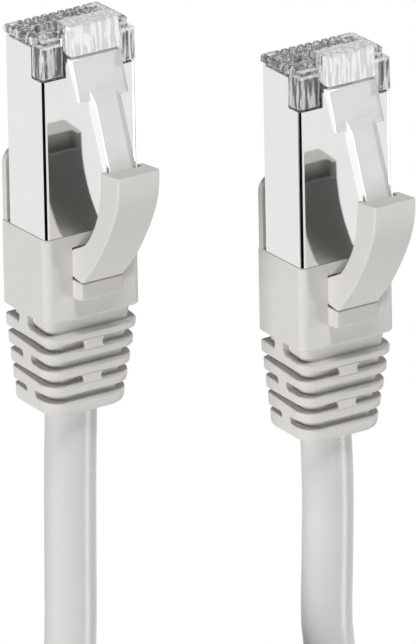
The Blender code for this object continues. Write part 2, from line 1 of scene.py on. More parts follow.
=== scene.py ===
import math
import bmesh
import bpy
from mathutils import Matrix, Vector


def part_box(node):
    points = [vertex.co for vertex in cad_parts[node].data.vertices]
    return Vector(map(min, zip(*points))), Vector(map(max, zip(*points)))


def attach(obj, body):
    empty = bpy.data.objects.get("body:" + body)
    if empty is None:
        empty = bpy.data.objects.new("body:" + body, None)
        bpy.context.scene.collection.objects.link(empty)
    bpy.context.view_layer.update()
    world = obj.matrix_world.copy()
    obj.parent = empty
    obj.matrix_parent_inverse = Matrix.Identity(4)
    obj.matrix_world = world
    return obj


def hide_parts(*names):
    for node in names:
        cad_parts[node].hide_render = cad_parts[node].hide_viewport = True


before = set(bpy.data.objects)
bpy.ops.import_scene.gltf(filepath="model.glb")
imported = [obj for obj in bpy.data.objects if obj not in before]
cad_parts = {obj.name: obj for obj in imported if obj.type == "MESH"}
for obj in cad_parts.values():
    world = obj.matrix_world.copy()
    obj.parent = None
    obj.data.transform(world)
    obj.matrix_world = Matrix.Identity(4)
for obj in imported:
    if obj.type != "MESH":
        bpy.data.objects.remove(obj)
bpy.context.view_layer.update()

mm = 0.001
fit = 0.3  # the clearance that touching pieces of the frame keep, mm
past = 0.5  # how far a cutter passes what it cuts, mm
slack = 0.05  # for picking edges by their place, mm
longEdge = 1.0  # shorter edges aren't picked, mm
ends = ("a", "b")

scene = bpy.context.scene
scene.view_settings.view_transform = "Standard"

# Each plug is modelled once, in millimetres, behind the middle of its own nose:
# x across, depth back from the nose, z up from the surface. Then it is copied to both ends.
noseReach = 1.4  # the latch root stands this far in front of the nose


def plugPlace(end):
    low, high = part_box(f"strain_boot_{end}")
    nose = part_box(f"plug_housing_{end}")[1].y
    return Vector(((low.x + high.x) / 2, nose - noseReach * mm, 0))


plugPlaces = {end: plugPlace(end) for end in ends}


# camera
photoView = {
    "fromPlugA": (-978.78, 663.37, 1525.84),  # mm from the nose of plug a
    "turn": (-20.4123, -33.5788, -1.2099),  # degrees
    "lens": 1036.5,
    "clip": (0.05, 20),  # metres
}


def makeCamera(view):
    lens = bpy.data.cameras.new("photoCamera")
    lens.lens = view["lens"]
    lens.clip_start, lens.clip_end = view["clip"]
    camera = bpy.data.objects.new("photoCamera", lens)
    scene.collection.objects.link(camera)
    camera.location = plugPlaces["a"] + Vector(view["fromPlugA"]) * mm
    camera.rotation_euler = [math.radians(turn) for turn in view["turn"]]
    scene.camera = camera


makeCamera(photoView)
print("camera set")


# shader maths
class Sock:
    # wraps a node's socket, so that sums on values add their Math nodes
    def __init__(self, shader, socket):
        self.shader = shader
        self.socket = socket

    def maths(self, operation, first, second):
        return self.shader.node("Math", {"operation": operation}, {0: first, 1: second})

    def __add__(self, other):
        return self.maths("ADD", self, other)

    def __radd__(self, other):
        return self.maths("ADD", other, self)

    def __sub__(self, other):
        return self.maths("SUBTRACT", self, other)

    def __rsub__(self, other):
        return self.maths("SUBTRACT", other, self)

    def __mul__(self, other):
        return self.maths("MULTIPLY", self, other)

    def __rmul__(self, other):
        return self.maths("MULTIPLY", other, self)

    def __abs__(self):
        return self.maths("ABSOLUTE", self, 0)

    def atMost(self, other):
        return self.maths("MINIMUM", self, other)

    def above(self, other):
        # 1 where this value is the greater one, else 0
        return self.maths("GREATER_THAN", self, other)


class Shader:
    # a node tree that is written one node at a time
    def __init__(self, tree):
        self.tree = tree

    def feed(self, socket, value):
        if isinstance(value, Sock):
            self.tree.links.new(value.socket, socket)
        else:
            socket.default_value = value

    def node(self, kind, settings=None, values=None, out=0):
        made = self.tree.nodes.new("ShaderNode" + kind)
        for name, value in (settings or {}).items():
            if name == "stops":
                for index, (place, shade) in enumerate(value):
                    stops = made.color_ramp.elements
                    stop = stops[index] if index < 2 else stops.new(place)
                    stop.position = place
                    stop.color = (shade, shade, shade, 1)
            else:
                setattr(made, name, value)
        for name, value in (values or {}).items():
            self.feed(made.inputs[name], value)
        return Sock(self, made.outputs[out])

    def mixColours(self, share, first, second):
        # 6, 7 and 2 are the places of the node's colour sockets
        return self.node("Mix", {"data_type": "RGBA"},
                         {"Factor": share, 6: (*first, 1), 7: (*second, 1)}, 2)

    def noise(self, place, scale, detail=2.0):
        return self.node("TexNoise", None, {"Vector": place, "Scale": scale, "Detail": detail})

    def streaks(self, place, scales, detail=2.0):
        stretched = self.node("Mapping", None, {"Vector": place, "Scale": scales})
        return self.noise(stretched, 1, detail)

    def ramp(self, value, stops):
        return self.node("ValToRGB", {"stops": stops}, {"Fac": value})

    def along(self, vector, axis):
        return self.node("SeparateXYZ", None, {"Vector": vector}, axis)

    def normalAlong(self, axis):
        return self.along(self.node("NewGeometry", None, None, "Normal"), axis)


def newFinish(name, constants):
    made = bpy.data.materials.new(name)
    made.use_nodes = True
    shader = Shader(made.node_tree)
    surface = made.node_tree.nodes["Principled BSDF"]
    for socket, value in constants.items():
        surface.inputs[socket].default_value = value
    place = shader.node("TexCoord", None, None, "Object")
    return made, shader, surface, place


def addColour(shader, surface, share, first, second):
    shader.feed(surface.inputs["Base Color"], shader.mixColours(share, first, second))


def addRoughness(shader, surface, share, least, spread):
    shader.feed(surface.inputs["Roughness"], share * spread + least)


def addGrain(shader, surface, height, strength, distance):
    bump = shader.node("Bump", None, {"Strength": strength, "Distance": distance, "Height": height})
    shader.feed(surface.inputs["Normal"], bump)


# in the finishes, "roughness" is the least and what the pattern adds,
# and "grain" is the strength and the distance of the bump

# moulded grey plastic of the boots
bootFinish = {
    "pale": (0.635, 0.625, 0.597), "deep": (0.575, 0.562, 0.532), "ior": 1.47,
    "cloudScale": 420, "cloudDetail": 3.0, "cloudShare": 0.6, "fineScale": 3600, "fineShare": 0.5,
    "roughness": (0.38, 0.16), "grain": (0.22, 0.00003),
}


def makeBootFinish(look):
    made, shader, surface, place = newFinish("greyBoot", {"IOR": look["ior"]})
    cloud = shader.noise(place, look["cloudScale"], look["cloudDetail"])
    fine = shader.noise(place, look["fineScale"])
    share = (cloud * look["cloudShare"] + fine * look["fineShare"]).atMost(1)
    addColour(shader, surface, share, look["deep"], look["pale"])
    addRoughness(shader, surface, fine, *look["roughness"])
    addGrain(shader, surface, fine, *look["grain"])
    return made


# extruded grey jacket of the cable
jacketFinish = {
    "pale": (0.595, 0.59, 0.575), "deep": (0.56, 0.555, 0.54), "ior": 1.5,
    "cloudScale": 260, "fineScale": 2600, "roughness": (0.26, 0.12), "grain": (0.1, 0.00002),
}


def makeJacketFinish(look):
    made, shader, surface, place = newFinish("greyJacket", {"IOR": look["ior"]})
    cloud = shader.noise(place, look["cloudScale"])
    fine = shader.noise(place, look["fineScale"])
    addColour(shader, surface, cloud, look["deep"], look["pale"])
    addRoughness(shader, surface, fine, *look["roughness"])
    addGrain(shader, surface, fine, *look["grain"])
    return made


# bright plated sheet of the shield, with the faintest rolling lines along the plug
shieldFinish = {
    "shade": (0.93, 0.93, 0.925), "worn": (0.88, 0.88, 0.87), "cloudScale": 300,
    "lineScales": (5200, 160, 5200), "roughness": (0.03, 0.06), "grain": (0.02, 0.00001),
}


def makeShieldFinish(look):
    made, shader, surface, place = newFinish("brightMetal", {"Metallic": 1.0})
    lines = shader.streaks(place, look["lineScales"])
    cloud = shader.noise(place, look["cloudScale"])
    addColour(shader, surface, cloud, look["worn"], look["shade"])
    addRoughness(shader, surface, lines, *look["roughness"])
    addGrain(shader, surface, lines, *look["grain"])
    return made


# clear moulded plastic: in the plug's body, painted dark and light streaks stand in for the surroundings
# seen through it; on the front faces and the top of the latch's root, a painted whitening stands in for the
# light they catch
bodyPlastic = {
    "tint": (0.99, 0.99, 0.985), "paintedRefractionDark": (0.42, 0.42, 0.41), "milk": (0.92, 0.92, 0.915),
    "ior": 1.5, "roughness": (0.03, 0.05), "cloudScale": 1500,
    "streaks": (2500, 260, 2500), "streakDetail": 3.0,
    "paintedDarkStreakStops": ((0.38, 1), (0.46, 0)), "paintedLightStreakStops": ((0.50, 0), (0.58, 1)),
    "leastMilk": 0.08, "paintedLightStreakMilk": 0.62, "paintedFaceLight": 0.6, "mostMilk": 0.95,
    "facing": 0.5,  # a face counts as a front one from this share of its normal
    "faceBottom": 0.0068, "rootBottom": 0.0086,  # metres
}
# and evenly hazy in the latch, with a painted highlight of white plastic on its sides
latchPlastic = {
    "tint": (0.99, 0.99, 0.985), "milk": (0.96, 0.96, 0.955), "ior": 1.5,
    "roughness": (0.03, 0.05), "cloudScale": 1500, "haze": 0.5, "paintedSideHighlight": 0.45, "facing": 0.8,
}
milkRoughness = 0.25


def newClear(name, look):
    return newFinish(name, {"IOR": look["ior"], "Transmission Weight": 1.0})


def addMilk(shader, surface, look, share):
    # clear plastic and white plastic, blended
    milky = shader.tree.nodes.new("ShaderNodeBsdfPrincipled")
    milky.inputs["Base Color"].default_value = (*look["milk"], 1)
    milky.inputs["Roughness"].default_value = milkRoughness
    blend = shader.node("MixShader", None, {0: share, 1: Sock(shader, surface.outputs["BSDF"]),
                                            2: Sock(shader, milky.outputs["BSDF"])})
    shader.feed(shader.tree.nodes["Material Output"].inputs["Surface"], blend)


def makeBodyPlastic(look):
    made, shader, surface, place = newClear("clearBody", look)
    lines = shader.streaks(place, look["streaks"], look["streakDetail"])
    # painted refraction: the tint darkens in streaks, for dark things seen through the plastic
    addColour(shader, surface, shader.ramp(lines, look["paintedDarkStreakStops"]), look["tint"], look["paintedRefractionDark"])
    addRoughness(shader, surface, shader.noise(place, look["cloudScale"]), *look["roughness"])
    # painted light: front faces above faceBottom and everything above rootBottom get white plastic, for the
    # light that the latch's root catches
    height = shader.along(place, "Z")
    front = shader.normalAlong("Y").above(look["facing"]) * height.above(look["faceBottom"])
    face = (front + height.above(look["rootBottom"])).atMost(1) * look["paintedFaceLight"]
    # painted refraction: white plastic in streaks, for bright things seen through the plastic
    share = shader.ramp(lines, look["paintedLightStreakStops"]) * look["paintedLightStreakMilk"] + look["leastMilk"]
    addMilk(shader, surface, look, (share + face).atMost(look["mostMilk"]))
    return made


def makeLatchPlastic(look):
    made, shader, surface, place = newClear("clearLatch", look)
    cloud = shader.noise(place, look["cloudScale"])
    addColour(shader, surface, cloud, look["milk"], look["tint"])
    addRoughness(shader, surface, cloud, *look["roughness"])
    # painted highlight: faces across the latch get more white plastic, for the bright edges they show
    side = abs(shader.normalAlong("X")).above(look["facing"])
    addMilk(shader, surface, look, side * look["paintedSideHighlight"] + look["haze"])
    return made


# contacts: gold where they touch the socket, nickel above
contactFinish = {
    "gold": (0.86, 0.68, 0.40), "nickel": (0.80, 0.79, 0.77),
    "goldTop": 0.0019, "waver": 0.0003,  # metres
    "cloudScale": 1800, "roughness": (0.15, 0.14),
}


def makeContactFinish(look):
    made, shader, surface, place = newFinish("contactPlate", {"Metallic": 1.0})
    cloud = shader.noise(place, look["cloudScale"])
    upper = (cloud * look["waver"] + shader.along(place, "Z")).above(look["goldTop"])
    addColour(shader, surface, upper, look["gold"], look["nickel"])
    addRoughness(shader, surface, cloud, *look["roughness"])
    return made


# plain finishes of the small pieces inside the plugs
plainFinishes = {
    "crimpMetal": {"pale": (0.75, 0.75, 0.74), "deep": (0.62, 0.62, 0.61), "metal": 1.0, "least": 0.28},
    "milkyPlastic": {"pale": (0.84, 0.85, 0.84), "deep": (0.76, 0.77, 0.76), "metal": 0.0, "least": 0.23},
}
plainPattern = {"cloudScale": 1800, "spread": 0.14, "grain": (0.08, 0.00002)}
wireFinish = {"deepShare": 0.85, "least": 0.33}
wireColours = {
    1: (0.80, 0.77, 0.73), 2: (0.72, 0.66, 0.60), 3: (0.78, 0.79, 0.76), 4: (0.60, 0.62, 0.66),
    5: (0.77, 0.78, 0.79), 6: (0.60, 0.64, 0.60), 7: (0.79, 0.76, 0.73), 8: (0.58, 0.54, 0.50),
}


def makePlainFinish(name, look):
    made, shader, surface, place = newFinish(name, {"Metallic": look["metal"]})
    cloud = shader.noise(place, plainPattern["cloudScale"])
    addColour(shader, surface, cloud, look["deep"], look["pale"])
    addRoughness(shader, surface, cloud, look["least"], plainPattern["spread"])
    addGrain(shader, surface, cloud, *plainPattern["grain"])
    return made


def makeFinishes():
    made = {
        "grey_boot": makeBootFinish(bootFinish),
        "grey_jacket": makeJacketFinish(jacketFinish),
        "bright_metal": makeShieldFinish(shieldFinish),
        "clear_plastic": makeBodyPlastic(bodyPlastic),
        "clear_latch": makeLatchPlastic(latchPlastic),
        "gold_plate": makeContactFinish(contactFinish),
        "crimp_metal": makePlainFinish("crimpMetal", plainFinishes["crimpMetal"]),
        "milky_plastic": makePlainFinish("milkyPlastic", plainFinishes["milkyPlastic"]),
    }
    for number, colour in wireColours.items():
        deep = tuple(channel * wireFinish["deepShare"] for channel in colour)
        look = {"pale": colour, "deep": deep, "metal": 0.0, "least": wireFinish["least"]}
        made[f"wire_{number}"] = makePlainFinish(f"wireSkin{number}", look)
    return made


finishes = makeFinishes()
print("finishes made")


# the cord: the same route as the frame's solids, in millimetres
cable = {
    "diameter": 5.5,
    "length": 0.88,  # metres from boot to boot
    "leadA": [(-15.95, -16.75, 3.45), (-16.05, -24.35, 3.13), (-16.2, -34.35, 3.02),
              (-16.35, -43.35, 2.93), (-16.9, -49.3, 2.87), (-18.95, -54.7, 2.85)],
    "leadB": [(15.95, -27.08, 3.45), (16.15, -34, 3.42), (16.0, -42, 3.35), (15.8, -50.5, 3.4),
              (16.45, -56.3, 4.6)],
    "coilMiddle": (-4, -88.3),
    "coilRadius": 26.5,
    "pitch": 5.85,
    "entryAngle": math.radians(136.3),
    "exitAngle": math.radians(32.7),
    "wholeTurns": 4,
    "pointsPerTurn": 48,
    "floorHeight": 2.85,
    "exitHeight": 7.1,
    "climbTurns": 0.5,  # from the lower layer to the upper one
    "exitTurns": 0.14,
    "straight": 3.0,  # past the coil, besides the cable's width and the clearance
    "leadStep": 2.8,
    "curveSteps": 12,
    "sideSteps": 8,
}


def easeBetween(value, start, end):
    share = min(1.0, max(0.0, (value - start) / (end - start)))
    return share * share * (3 - 2 * share)


def coilPoints(shape):
    # in along the floor, up one layer in the middle, and out again on top
    turns = shape["wholeTurns"] + 1 - (shape["entryAngle"] - shape["exitAngle"]) / (2 * math.pi)
    middle = turns / 2
    climb = shape["climbTurns"] / 2
    outerRadius = shape["coilRadius"] + shape["pitch"] * middle / 2
    top = shape["floorHeight"] + shape["pitch"]
    count = round(turns * shape["pointsPerTurn"])
    centre = Vector((*shape["coilMiddle"], 0))
    points = []
    for step in range(count + 1):
        turn = turns * step / count
        radius = outerRadius - shape["pitch"] * min(turn, turns - turn)
        angle = shape["entryAngle"] + 2 * math.pi * turn
        height = shape["floorHeight"] + shape["pitch"] * easeBetween(turn, middle - climb, middle + climb)
        height -= (top - shape["exitHeight"]) * easeBetween(turn, turns - shape["exitTurns"], turns)
        points.append(centre + Vector((radius * math.cos(angle), radius * math.sin(angle), height)))
    entry = Vector((math.sin(shape["entryAngle"]), -math.cos(shape["entryAngle"]), 0))
    leave = Vector((-math.sin(shape["exitAngle"]), math.cos(shape["exitAngle"]), 0))
    straight = shape["diameter"] + fit + shape["straight"]
    return [points[0] + entry * straight] + points + [points[-1] + leave * straight]


def smoothThrough(route, steps):
    points = [Vector(point) for point in route]
    padded = [2 * points[0] - points[1]] + points + [2 * points[-1] - points[-2]]
    fine = []
    for before, start, end, after in zip(padded, padded[1:], padded[2:], padded[3:]):
        for step in range(steps):
            t = step / steps
            fine.append(0.5 * (2 * start + (end - before) * t
                               + (2 * before - 5 * start + 4 * end - after) * t ** 2
                               + (3 * start - before - 3 * end + after) * t ** 3))
    return fine + [points[-1]]


def evenly(fine, spacing):
    walked = [0.0]
    for near, far in zip(fine, fine[1:]):
        walked.append(walked[-1] + (far - near).length)
    count = max(2, round(walked[-1] / spacing))
    points = []
    index = 0
    for step in range(count):
        goal = walked[-1] * step / count
        while walked[index + 1] < goal:
            index += 1
        share = (goal - walked[index]) / (walked[index + 1] - walked[index])
        points.append(fine[index].lerp(fine[index + 1], share))
    return points + [fine[-1]]


def makeCable(shape):
    coil = coilPoints(shape)
    leadA = evenly(smoothThrough(shape["leadA"] + [coil[0]], shape["curveSteps"]), shape["leadStep"])
    leadB = evenly(smoothThrough(shape["leadB"] + [coil[-1]], shape["curveSteps"]), shape["leadStep"])
    route = leadA[:-1] + coil + leadB[-2::-1]
    line = bpy.data.curves.new("patchCable", "CURVE")
    line.dimensions = "3D"
    line.bevel_depth = shape["diameter"] / 2 * mm
    line.bevel_resolution = shape["sideSteps"]
    line.use_fill_caps = True
    spline = line.splines.new("POLY")
    spline.points.add(len(route) - 1)
    for knot, point in zip(spline.points, route):
        knot.co = (*(point * mm), 1)
    spline.use_smooth = True
    cord = bpy.data.objects.new("patchCable", line)
    scene.collection.objects.link(cord)
    line.materials.append(finishes["grey_jacket"])
    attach(cord, "root")
    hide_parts("cable_lead_a", "cable_lead_b", "cable_coil")
    tuple(route[0] * mm)


makeCable(cable)
print("cable laid")


# modelling helpers
def deselectAll():
    bpy.ops.object.select_all(action="DESELECT")


def workOn(piece):
    deselectAll()
    piece.select_set(True)
    bpy.context.view_layer.objects.active = piece


def openMesh(piece, kind):
    workOn(piece)
    bpy.ops.object.mode_set(mode="EDIT")
    bpy.ops.mesh.select_mode(type=kind)
    bpy.ops.mesh.select_all(action="DESELECT")


def closeMesh():
    bpy.ops.object.mode_set(mode="OBJECT")


def pick(piece, kind, wanted):
    # selects what the test wants; points reach the test in millimetres
    openMesh(piece, kind)
    form = bmesh.from_edit_mesh(piece.data)
    items = {"VERT": form.verts, "EDGE": form.edges, "FACE": form.faces}[kind]
    for item in items:
        item.select_set(wanted(item))
    form.select_flush_mode()
    bmesh.update_edit_mesh(piece.data)


def edgeEnds(edge):
    return [corner.co / mm for corner in edge.verts]


def roundEdges(piece, width, segments, wanted):
    pick(piece, "EDGE", lambda edge: wanted(*edgeEnds(edge)))
    bpy.ops.mesh.bevel(offset=width * mm, segments=segments, affect="EDGES", clamp_overlap=True)
    closeMesh()


def addBlock(name, xRange, depthRange, zRange):
    sides = [xRange, (-depthRange[1], -depthRange[0]), zRange]
    deselectAll()
    bpy.ops.mesh.primitive_cube_add(size=1, location=[(low + high) / 2 * mm for low, high in sides],
                                    scale=[(high - low) * mm for low, high in sides])
    block = bpy.context.object
    block.name = name
    bpy.ops.object.transform_apply(location=True, rotation=True, scale=True)
    return block


def growRings(name, rings):
    # a filled ring pulled to its outline, then drawn out through the rings that follow
    deselectAll()
    bpy.ops.mesh.primitive_circle_add(vertices=len(rings[0]), radius=mm, fill_type="NGON")
    piece = bpy.context.object
    piece.name = name
    bpy.ops.object.mode_set(mode="EDIT")
    bpy.ops.mesh.select_mode(type="FACE")
    bpy.ops.mesh.select_all(action="SELECT")
    form = bmesh.from_edit_mesh(piece.data)
    form.verts.ensure_lookup_table()
    for corner, point in zip(form.verts, rings[0]):
        corner.co = Vector(point) * mm
    bmesh.update_edit_mesh(piece.data)
    for before, after in zip(rings, rings[1:]):
        bpy.ops.mesh.extrude_region_move()
        form = bmesh.from_edit_mesh(piece.data)
        grown = [corner for corner in form.verts if corner.select]
        for old, new in zip(before, after):
            nearest = min(grown, key=lambda corner: (corner.co - Vector(old) * mm).length_squared)
            grown.remove(nearest)
            nearest.co = Vector(new) * mm
        bmesh.update_edit_mesh(piece.data)
    bpy.ops.mesh.select_all(action="SELECT")
    bpy.ops.mesh.normals_make_consistent(inside=False)
    closeMesh()
    return piece


def sideOutline(name, outline, halfWidth):
    # a (depth, z) outline carried across the plug
    return growRings(name, [[(x, -depth, z) for depth, z in outline] for x in (-halfWidth, halfWidth)])


def topOutline(name, outline, zRange):
    # an (x, depth) outline carried upwards
    return growRings(name, [[(x, -depth, z) for x, depth in outline] for z in zRange])


def aroundCorners(steps):
    # the angle of each point round the four corners, and the sides (+1 or -1) that it lies on
    for turn, (sideX, sideZ) in enumerate(((1, 1), (-1, 1), (-1, -1), (1, -1))):
        for step in range(steps + 1):
            yield (turn + step / steps) * math.pi / 2, sideX, sideZ


def roundedRing(width, height, middle, edge, depth, steps=6):
    return [(sideX * (width / 2 - edge) + edge * math.cos(angle), -depth,
             middle + sideZ * (height / 2 - edge) + edge * math.sin(angle))
            for angle, sideX, sideZ in aroundCorners(steps)]


def roundRing(radius, middle, depth, sides=32):
    angles = [side * 2 * math.pi / sides for side in range(sides)]
    return [(radius * math.cos(angle), -depth, middle + radius * math.sin(angle)) for angle in angles]


def roundTurn(radius, turns=(0, 30, 60, 90)):
    # (how far along, how far in) for the steps of a round edge, from the face inwards
    angles = [math.radians(turn) for turn in turns]
    return [(radius * (1 - math.cos(angle)), radius * (1 - math.sin(angle))) for angle in angles]


def bothHalves(half):
    # a whole outline from the points of its right half
    return half + [(-x, depth) for x, depth in reversed(half)]


def combine(piece, tool, operation):
    workOn(piece)
    change = piece.modifiers.new(operation.lower(), "BOOLEAN")
    change.operation = operation
    change.solver = "EXACT"
    change.object = tool
    bpy.ops.object.modifier_apply(modifier=change.name)
    bpy.data.objects.remove(tool)


def cutBlocks(piece, boxes):
    for xRange, depthRange, zRange in boxes:
        combine(piece, addBlock("cutter", xRange, depthRange, zRange), "DIFFERENCE")


def bothSides(xRange, depthRange, zRange):
    inner, outer = xRange
    return [((inner, outer), depthRange, zRange), ((-outer, -inner), depthRange, zRange)]


def soften(piece, width, segments=2, angle=35):
    workOn(piece)
    bevel = piece.modifiers.new("edges", "BEVEL")
    bevel.width = width * mm
    bevel.segments = segments
    bevel.limit_method = "ANGLE"
    bevel.angle_limit = math.radians(angle)
    bevel.miter_outer = "MITER_ARC"
    bpy.ops.object.modifier_apply(modifier=bevel.name)


weldReach = 0.000002  # metres
crispAngle = 30  # degrees, for the metal and the clear pieces


def smoothMesh(piece, angle=40):
    openMesh(piece, "VERT")
    bpy.ops.mesh.select_all(action="SELECT")
    bpy.ops.mesh.remove_doubles(threshold=weldReach)
    bpy.ops.mesh.normals_make_consistent(inside=False)
    closeMesh()
    workOn(piece)
    bpy.ops.object.shade_smooth_by_angle(angle=math.radians(angle))
    weights = piece.modifiers.new("faceWeights", "WEIGHTED_NORMAL")
    weights.keep_sharp = True
    bpy.ops.object.modifier_apply(modifier=weights.name)


def copyToEnds(piece, slotName, node, body, finish=None, inMirrors=True):
    # one copy for each plug; the pattern piece goes
    for end in ends:
        workOn(piece)
        bpy.ops.object.duplicate()
        copy = bpy.context.object
        copy.name = f"{piece.name}_{end}"
        copy.location = plugPlaces[end]
        bpy.ops.object.transform_apply(location=True, rotation=True, scale=True)
        copy.visible_glossy = inMirrors
        copy.data.materials.clear()
        copy.data.materials.append(finishes[finish or slotName])
        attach(copy, "root" if body == "root" else f"{body}_{end}")
        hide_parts(f"{node}_{end}")
    bpy.data.objects.remove(piece)


# boot: block, tongue under the shield, root of the lever and the ribbed relief
boot = {
    "front": 22.12, "back": 31.65, "top": 8.3,
    # sections are (width, bottom, top, radius of the upper corners, of the lower corners)
    "block": (11.8, 0, 8.3, 0.95, 0.15), "rimRound": 0.12, "rimTurns": (0, 45, 90),
    "backRound": 0.28, "backLean": 0.15,
    "cornerSteps": 6, "insetEdge": 0.6, "leastEdge": 0.1,
    "reliefStart": (12.1, 0, 8.55, 1.5, 0.3), "reliefBack": (10.0, 0.1, 7.5, 2.25, 0.75),
    "reliefEnd": 42.7,
    "slots": ((31.6, 33.3), (34.18, 35.3), (36.2, 37.3), (38.25, 39.22), (40.25, 41.2)),
    "startLean": 0.3, "endLean": 0.9,  # the slots' edges lean this far forward at the floor
    "slotDeep": 0.85, "coreShort": 0.3, "lip": 0.22, "lowLip": 0.15, "tipRound": 0.6,
    "sideBridge": 0.75, "faceBridge": 1.0, "flare": 0.42, "webSink": 0.03, "webInset": 0.04,
    "webLimits": (0.6, 0.4),
    "middle": 3.7, "cableHeight": 3.45,
    "bores": ((3.3, 26.0), (3.3, 30.8), (2.95, 30.8), (2.95, 43.5)),  # (radius, depth)
    "tongue": (14.2, 1.6, 0.02, 0.8), "tongueInset": 0.15, "tongueRoot": 0.9,
    "tongueTurns": (0, 15, 30, 45, 60, 75, 90),
    "chamber": ((-5.3, 5.3), (20.7, 27.2), (1.3, 7.0)),
    "bed": [(23.62, 7.15), (23.62, 8.08), (23.46, 8.36), (23.46, 9.1), (27.05, 9.1), (27.05, 7.15)],
    "bedHalf": 2.612,  # its sloping front edge leaves room for the lever's heel
    "root": [(27.05, 7.9), (27.05, 10.05), (29.05, 9.85), (29.2, 7.9)],
    "rootHalf": 2.6, "rootEdge": 0.2, "rootSteps": 4,
}


def leanBack(shape, depth, lean, z):
    return depth - lean * (1 - z / shape["top"])


def bootRing(shape, section, depth, lean=0.0, inset=0.0, lowInset=None):
    # an outline of the boot, with sharper corners below, that may lean forward towards the floor
    width, bottom, top, upperEdge, lowerEdge = section
    bottom += inset if lowInset is None else lowInset
    top -= inset
    half = width / 2 - inset
    points = []
    for angle, sideX, sideZ in aroundCorners(shape["cornerSteps"]):
        edge = upperEdge - inset * shape["insetEdge"] if sideZ > 0 else lowerEdge
        edge = max(edge, shape["leastEdge"])
        z = (top - edge if sideZ > 0 else bottom + edge) + edge * math.sin(angle)
        points.append((sideX * (half - edge) + edge * math.cos(angle),
                       -leanBack(shape, depth, lean, z), z))
    return points


def reliefRing(shape, depth, lean=0.0, inset=0.0, lowInset=None):
    share = (depth - shape["back"]) / (shape["reliefEnd"] - shape["tipRound"] - shape["back"])
    section = [start + (end - start) * share
               for start, end in zip(shape["reliefStart"], shape["reliefBack"])]
    return bootRing(shape, section, depth, lean, inset, lowInset)


def makeRib(shape, start, stop, backRound):
    # a ring of the relief with round lips at both of its edges
    front = [reliefRing(shape, start + along, shape["endLean"], inwards)
             for along, inwards in roundTurn(shape["lip"])]
    back = [reliefRing(shape, stop - along, shape["startLean"], inwards, min(inwards, shape["lowLip"]))
            for along, inwards in reversed(roundTurn(backRound))]
    return growRings("rib", front + back)


def bridgeOutline(shape, half, start, stop):
    # a web between two ribs, which flares where it meets them
    turn = roundTurn((stop - start) * shape["flare"])
    near = [(half + along, start + inwards - shape["webSink"]) for along, inwards in reversed(turn)]
    far = [(x, start + stop - depth) for x, depth in reversed(near)]
    return bothHalves(near + far)


def makeBridge(shape, index, start, stop):
    half = shape["block"][0] / 2
    middle = shape["middle"]
    lean = (shape["startLean"] + shape["endLean"]) / 2
    if index % 2 == 0:
        side = bridgeOutline(shape, shape["sideBridge"], start, stop)
        rings = [[(x, -leanBack(shape, depth, lean, middle), middle + height) for height, depth in side]
                 for x in (-half, half)]
    else:
        face = bridgeOutline(shape, shape["faceBridge"], start, stop)
        rings = [[(x, -leanBack(shape, depth, lean, z), z) for x, depth in face]
                 for z in (-past, shape["top"] + past)]
    bridge = growRings("bridge", rings)
    before, after = shape["webLimits"]
    limit = growRings("limit", [reliefRing(shape, depth, 0, shape["webInset"])
                                for depth in (start - before, stop + after)])
    combine(bridge, limit, "INTERSECT")
    return bridge


def makeTongue(shape):
    front, corner, low, high = shape["tongue"]
    side = shape["block"][0] / 2 - shape["tongueInset"]
    arc = [(side - along, front + inwards)
           for along, inwards in roundTurn(corner, shape["tongueTurns"])]
    outline = bothHalves([(side, shape["front"] + shape["tongueRoot"])] + arc)
    return topOutline("tongue", outline, (low, high))


def makeBoot(shape):
    block = shape["block"]
    front = [bootRing(shape, block, shape["front"] + along, 0, inwards)
             for along, inwards in roundTurn(shape["rimRound"], shape["rimTurns"])]
    back = [bootRing(shape, block, shape["back"] - along, shape["backLean"], inwards, 0)
            for along, inwards in reversed(roundTurn(shape["backRound"]))]
    piece = growRings("bootMoulding", front + back)

    coreEnds = [reliefRing(shape, depth, 0, shape["slotDeep"])
                for depth in (shape["back"] - past, shape["reliefEnd"] - shape["coreShort"])]
    combine(piece, growRings("core", coreEnds), "UNION")
    ribStarts = [stop for start, stop in shape["slots"]]
    ribEnds = [start for start, stop in shape["slots"][1:]] + [shape["reliefEnd"]]
    for start, stop in zip(ribStarts, ribEnds):
        backRound = shape["tipRound"] if stop == shape["reliefEnd"] else shape["lip"]
        combine(piece, makeRib(shape, start, stop, backRound), "UNION")
    for index, (start, stop) in enumerate(shape["slots"]):
        combine(piece, makeBridge(shape, index, start, stop), "UNION")
    combine(piece, makeTongue(shape), "UNION")

    root = sideOutline("root", shape["root"], shape["rootHalf"])
    soften(root, shape["rootEdge"], shape["rootSteps"])
    combine(piece, root, "UNION")

    cutBlocks(piece, [shape["chamber"]])
    combine(piece, sideOutline("bed", shape["bed"], shape["bedHalf"]), "DIFFERENCE")
    bore = growRings("bore", [roundRing(radius, shape["cableHeight"], depth)
                              for radius, depth in shape["bores"]])
    combine(piece, bore, "DIFFERENCE")
    smoothMesh(piece)
    copyToEnds(piece, "grey_boot", "strain_boot", "root")


makeBoot(boot)
print("boots moulded")


# lever: a thick strip that curves up from the boot and over the latch
lever = {
    "half": 2.6,
    "outer": [(26.97, 10.08), (25.9, 11.1), (25.0, 11.98), (24.0, 12.78), (22.8, 13.66), (21.4, 14.58),
              (20.1, 15.38), (18.7, 16.12), (17.3, 16.75), (15.9, 17.18), (14.6, 17.4), (13.15, 17.45)],
    "inner": [(26.6, 7.9), (25.4, 7.8), (24.3, 7.8), (23.68, 8.3), (22.55, 10.55), (21.0, 11.8),
              (19.8, 12.55), (18.5, 13.15), (17.1, 13.58), (15.6, 13.85), (14.4, 13.93), (13.5, 13.95)],
    "edge": 0.28, "edgeSteps": 4, "curveSteps": 2,
    "pocket": ((-2.0, 2.0), (12.0, 15.2), (12.0, 14.95)), "pocketEdge": 0.3,
    "pocketSteps": 3,
}


